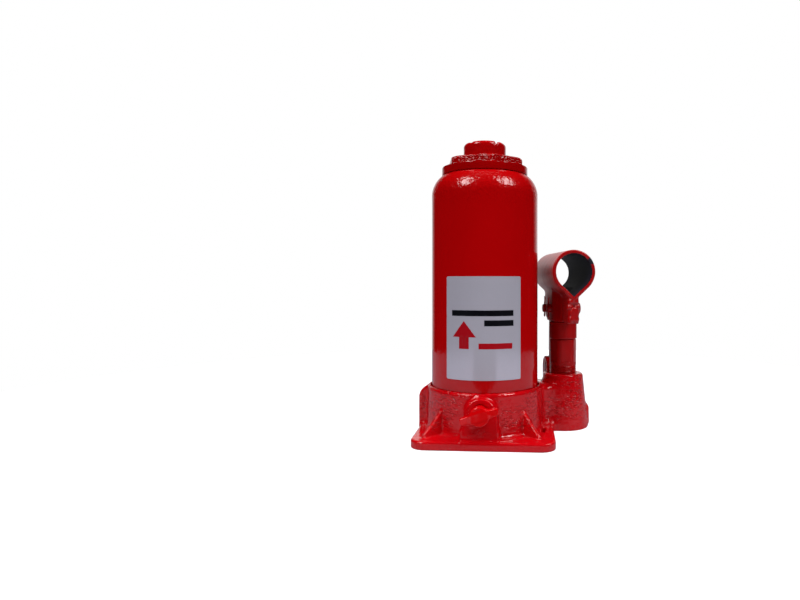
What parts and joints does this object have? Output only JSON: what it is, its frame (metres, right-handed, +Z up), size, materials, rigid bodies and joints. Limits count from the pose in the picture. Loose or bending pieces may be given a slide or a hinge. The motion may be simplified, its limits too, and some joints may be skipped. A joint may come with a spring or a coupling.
{
  "type": "hydraulic bottle jack",
  "caption": "Upright hydraulic bottle jack with cast foot, round reservoir, extension screw with ribbed saddle, side pump and tubular handle socket.",
  "frame": {"origin": "ram axis at the underside of the foot casting", "axes": "+Z up along the ram, +X towards the pump, -Y towards the front with the release valve"},
  "size_m": [0.1393, 0.1247, 0.229],
  "materials": {
    "cast_red": "thick gloss paint over rough casting",
    "smooth_red": "smooth gloss paint",
    "pin_red": "gloss paint over steel pins",
    "label_grey": "satin silver film",
    "ground_steel": "ground and polished",
    "plain_steel": "machined",
    "spring_steel": "drawn wire",
    "seal_rubber": "matt",
    "seal_nylon": "matt",
    "copper_washer": "soft annealed"
  },
  "bodies": {
    "jack_base": {"base_casting": "cast_red", "bottom_gasket": "seal_rubber", "reservoir_tube": "smooth_red", "rating_label": "label_grey", "filler_plug": "seal_rubber", "top_gasket": "seal_rubber", "top_nut": "smooth_red", "ram_seal": "seal_rubber", "ram_wiper": "seal_rubber", "pressure_cylinder": "plain_steel", "cylinder_washer": "copper_washer", "pump_body": "smooth_red", "pump_washer": "copper_washer", "pump_gland_seal": "seal_rubber", "inlet_filter": "plain_steel", "outlet_spring": "spring_steel", "safety_spring": "spring_steel", "safety_screw": "plain_steel", "passage_plugs": "plain_steel", "link_base_pin": "pin_red", "link_base_split_pin": "pin_red"},
    "inlet_valve": {"inlet_ball": "ground_steel"},
    "outlet_valve": {"outlet_ball": "ground_steel"},
    "safety_valve": {"safety_ball": "ground_steel"},
    "ram": {"ram_tube": "ground_steel", "piston_backup_ring": "seal_nylon", "piston_cup": "seal_rubber", "piston_retainer": "plain_steel"},
    "screw_carrier": {"screw_stop_ring": "plain_steel"},
    "screw": {"extension_screw": "ground_steel", "saddle": "smooth_red"},
    "release_ball_carrier": {"release_ball": "ground_steel"},
    "release_valve": {"release_valve_screw": "smooth_red", "release_valve_oring": "seal_rubber"},
    "link": {"link_bar": "smooth_red"},
    "socket": {"handle_socket": "smooth_red", "link_top_pin": "pin_red", "link_top_split_pin": "pin_red", "plunger_pin": "pin_red", "plunger_split_pin": "pin_red"},
    "plunger": {"pump_plunger": "ground_steel", "plunger_cup": "seal_rubber"}
  },
  "joints": [
    {"name": "ram_lift", "type": "slide", "parent": "jack_base", "child": "ram", "axis": [0, 0, 1], "range_m": [0, 0.14]},
    {"name": "screw_rise", "type": "slide", "parent": "ram", "child": "screw_carrier", "axis": [0, 0, 1], "range_m": [0, 0.0711]},
    {"name": "screw_turn", "type": "hinge", "parent": "screw_carrier", "child": "screw", "pos_m": [0, 0, 0.2165], "axis": [0, 0, 1], "range_deg": [0, 6390]},
    {"name": "release_valve_advance", "type": "slide", "parent": "jack_base", "child": "release_ball_carrier", "axis": [0, -1, 0], "range_m": [0, 0.00225]},
    {"name": "release_valve_turn", "type": "hinge", "parent": "release_ball_carrier", "child": "release_valve", "pos_m": [0, -0.053, 0.0258], "axis": [0, -1, 0], "range_deg": [0, 541]},
    {"name": "link_swing", "type": "hinge", "parent": "jack_base", "child": "link", "pos_m": [0.0584, 0.05053, 0.045], "axis": [-0.9833, -0.1822, 0], "range_deg": [-7.2, 0]},
    {"name": "handle_pump", "type": "hinge", "parent": "link", "child": "socket", "pos_m": [0.05876, 0.04856, 0.096], "axis": [-0.9833, -0.1822, 0], "range_deg": [0, 49]},
    {"name": "plunger_stroke", "type": "slide", "parent": "jack_base", "child": "plunger", "axis": [0, 0, 1], "range_m": [0, 0.0171]},
    {"name": "inlet_ball_lift", "type": "slide", "parent": "jack_base", "child": "inlet_valve", "axis": [0, 0, 1], "range_m": [0, 0.0012]},
    {"name": "outlet_ball_lift", "type": "slide", "parent": "jack_base", "child": "outlet_valve", "axis": [0, 0, -1], "range_m": [0, 0.0012], "stiffness_N_per_m": 400, "springref_m": -0.002, "deforming": ["outlet_spring"]},
    {"name": "safety_ball_lift", "type": "slide", "parent": "jack_base", "child": "safety_valve", "axis": [0, 0, -1], "range_m": [0, 0.0006], "stiffness_N_per_m": 2000, "springref_m": -0.002, "deforming": ["safety_spring"]}
  ],
  "couplings": [
    {"joint": "screw_rise", "follows": "screw_turn", "m_per_rad": 0.00063662},
    {"joint": "release_valve_turn", "follows": "release_valve_advance", "rad_per_m": 4188.8},
    {"joint": "link_swing", "follows": "handle_pump", "ratio": -0.144},
    {"joint": "plunger_stroke", "follows": "handle_pump", "m_per_rad": 0.0199}
  ]
}
